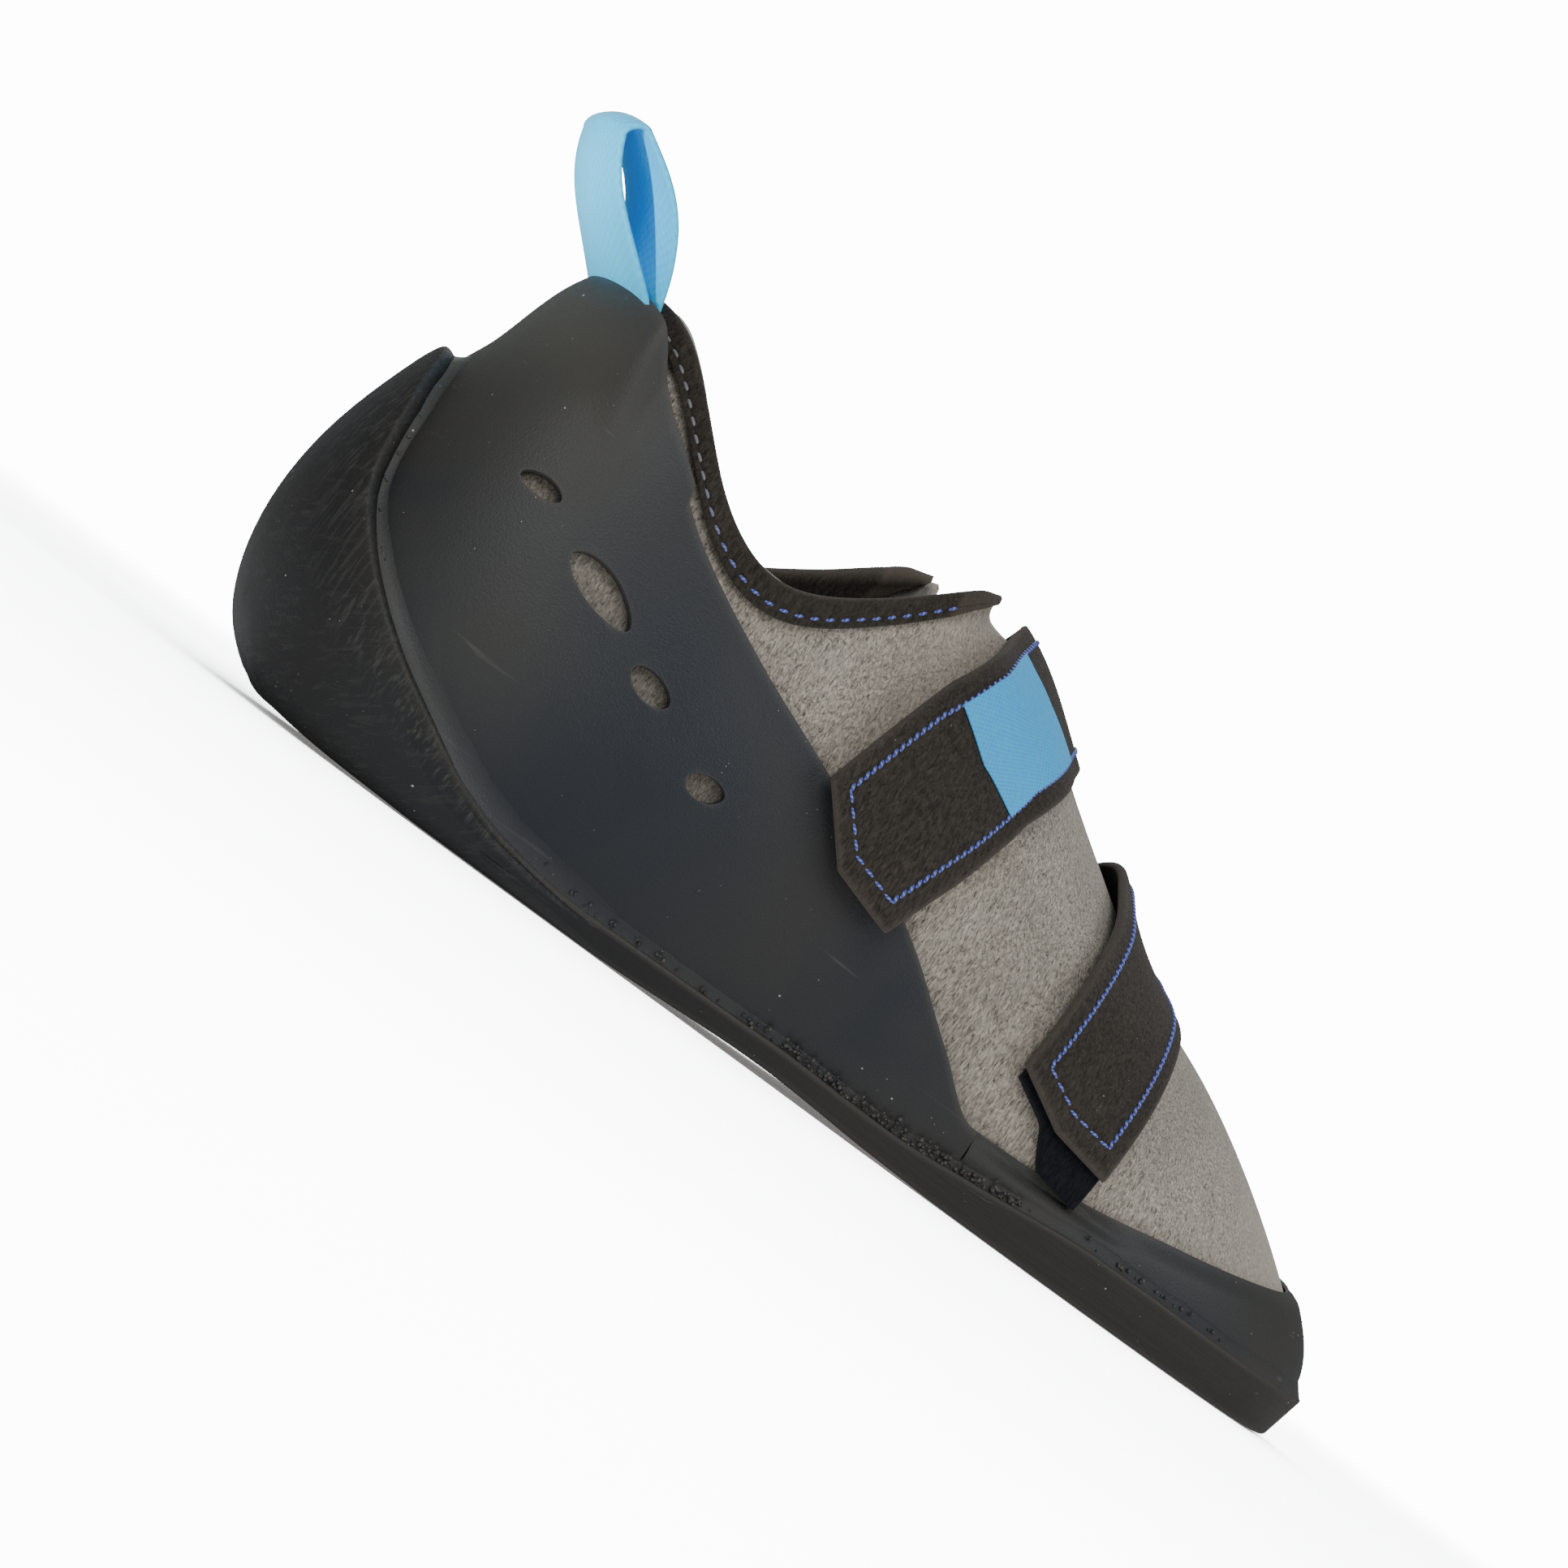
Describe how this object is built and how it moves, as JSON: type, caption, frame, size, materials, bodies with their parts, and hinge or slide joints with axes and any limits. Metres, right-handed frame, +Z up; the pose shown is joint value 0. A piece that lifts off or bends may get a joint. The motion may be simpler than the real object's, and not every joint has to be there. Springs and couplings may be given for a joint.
{
  "type": "climbing shoe",
  "caption": "Low-cut right-foot climbing shoe with a suede upper, black rubber rands and sole, hook-and-loop straps and a pale blue heel loop.",
  "frame": {"origin": "on the ground, under the middle of the shoe's bounding box", "axes": "+X from heel to toe, +Y towards the inner side of the foot, +Z up"},
  "size_m": [0.2538, 0.097, 0.1138],
  "materials": {
    "sole_rubber": "matte, ground edge",
    "insole_board": "matte",
    "suede": "napped suede",
    "heel_rand_rubber": "satin",
    "toe_rand_rubber": "satin",
    "binding_suede": "napped microsuede",
    "tongue_fabric": "matte",
    "upper_strap_suede": "napped microsuede",
    "front_strap_suede": "napped microsuede",
    "upper_pad_fabric": "hook and loop",
    "front_pad_fabric": "hook and loop",
    "tag_fabric": "woven",
    "loop_webbing": "woven webbing"
  },
  "bodies": {
    "root": {"outsole": "sole_rubber", "insole": "insole_board", "upper": "suede", "heel_rand": "heel_rand_rubber", "toe_rand": "toe_rand_rubber", "collar_binding": "binding_suede", "tongue": "tongue_fabric", "strap_upper": "upper_strap_suede", "strap_front": "front_strap_suede", "strap_pad_upper": "upper_pad_fabric", "strap_pad_front": "front_pad_fabric", "strap_tag": "tag_fabric", "pull_loop": "loop_webbing"}
  },
  "joints": []
}
